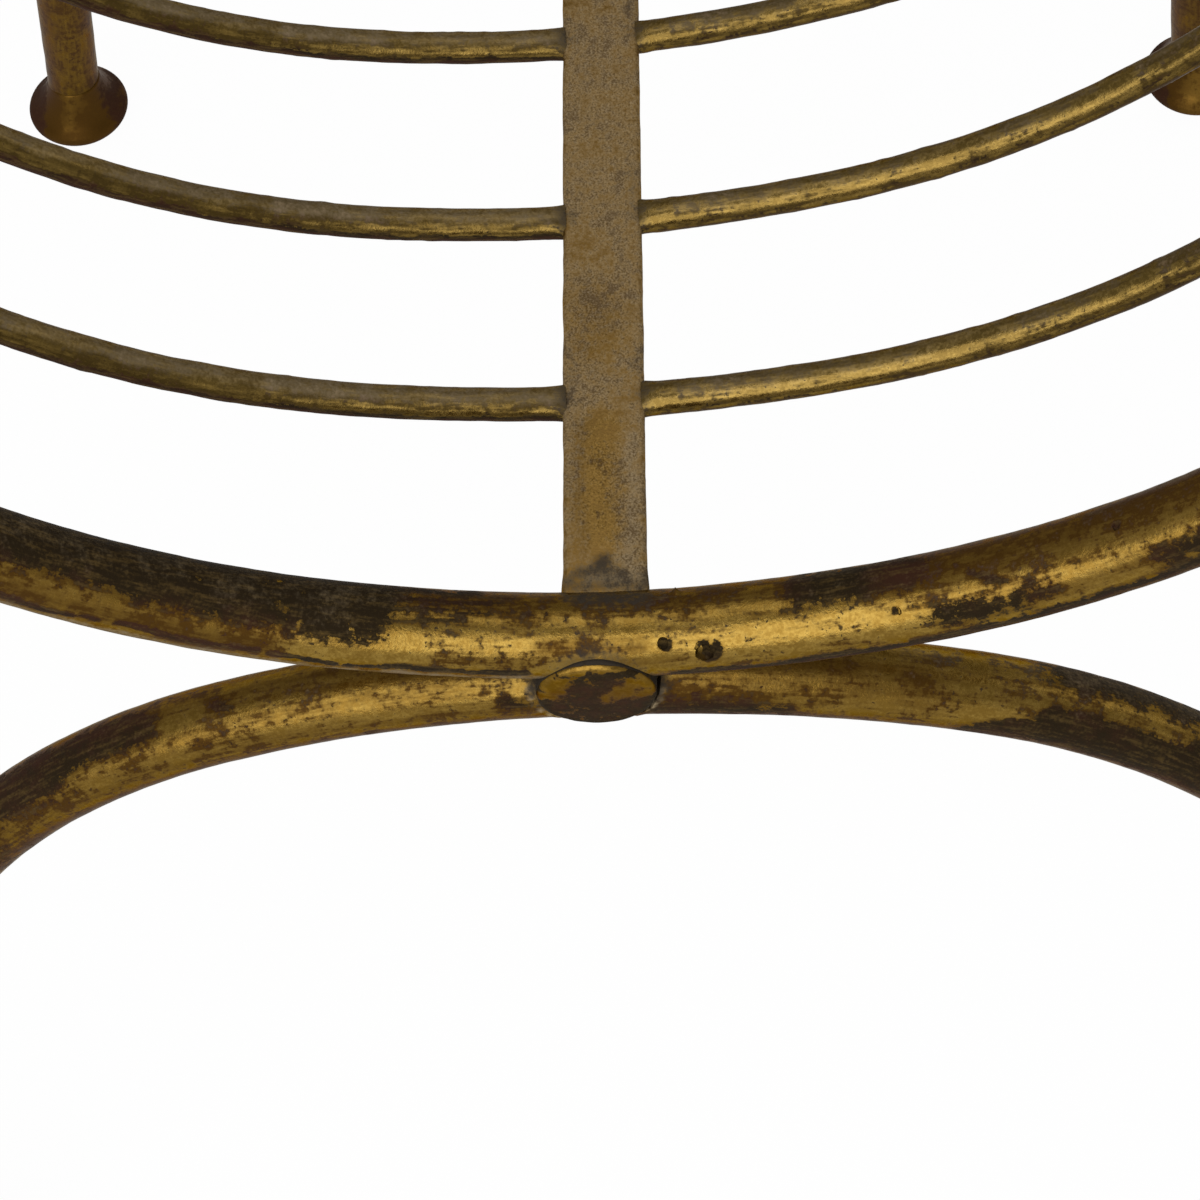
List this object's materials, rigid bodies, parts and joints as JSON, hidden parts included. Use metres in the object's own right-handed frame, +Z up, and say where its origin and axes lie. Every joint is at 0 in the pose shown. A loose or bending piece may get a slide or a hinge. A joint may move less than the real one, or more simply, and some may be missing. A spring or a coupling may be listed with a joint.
{
  "type": "side chair",
  "caption": "Gilt iron side chair: tangent-bent round bar frames riveted to leg arches, a dished seat of thin rods on a flat centre bar, and an open raked back.",
  "frame": {"origin": "on the floor, under the middle of the chair's box", "axes": "+Z up, +Y towards the back, +X to the right as seen from the front"},
  "size_m": [0.4556, 0.5535, 0.8603],
  "materials": {
    "gilt_frame": "worn gilding over dark brown iron, half bright",
    "gilt_rods": "worn gilding over dark brown iron, dusty on top",
    "dull_flat_bar": "dull, dusty gilding with fine dark specks",
    "gilt_rivets": "rubbed gilding with a bare brown middle",
    "gilt_feet": "dark brown iron with rubbed gilding"
  },
  "bodies": {
    "root": {"front_frame": "gilt_frame", "back_frame": "gilt_frame", "front_leg_arch": "gilt_frame", "rear_leg_arch": "gilt_frame", "side_rail_left": "gilt_frame", "side_rail_right": "gilt_frame", "crest_rail": "gilt_frame", "seat_rod_1_left": "gilt_rods", "seat_rod_1_right": "gilt_rods", "seat_rod_2_left": "gilt_rods", "seat_rod_2_right": "gilt_rods", "seat_rod_3_left": "gilt_rods", "seat_rod_3_right": "gilt_rods", "seat_rod_4_left": "gilt_rods", "seat_rod_4_right": "gilt_rods", "seat_rod_5_left": "gilt_rods", "seat_rod_5_right": "gilt_rods", "seat_rod_6_left": "gilt_rods", "seat_rod_6_right": "gilt_rods", "back_rod_1_left": "gilt_rods", "back_rod_1_right": "gilt_rods", "back_rod_2_left": "gilt_rods", "back_rod_2_right": "gilt_rods", "back_rod_3_left": "gilt_rods", "back_rod_3_right": "gilt_rods", "back_rod_4_left": "gilt_rods", "back_rod_4_right": "gilt_rods", "centre_bar": "dull_flat_bar", "back_spine": "dull_flat_bar", "front_rivet": "gilt_rivets", "rear_rivet": "gilt_rivets", "front_foot_left": "gilt_feet", "front_foot_right": "gilt_feet", "rear_foot_left": "gilt_feet", "rear_foot_right": "gilt_feet"}
  },
  "joints": []
}
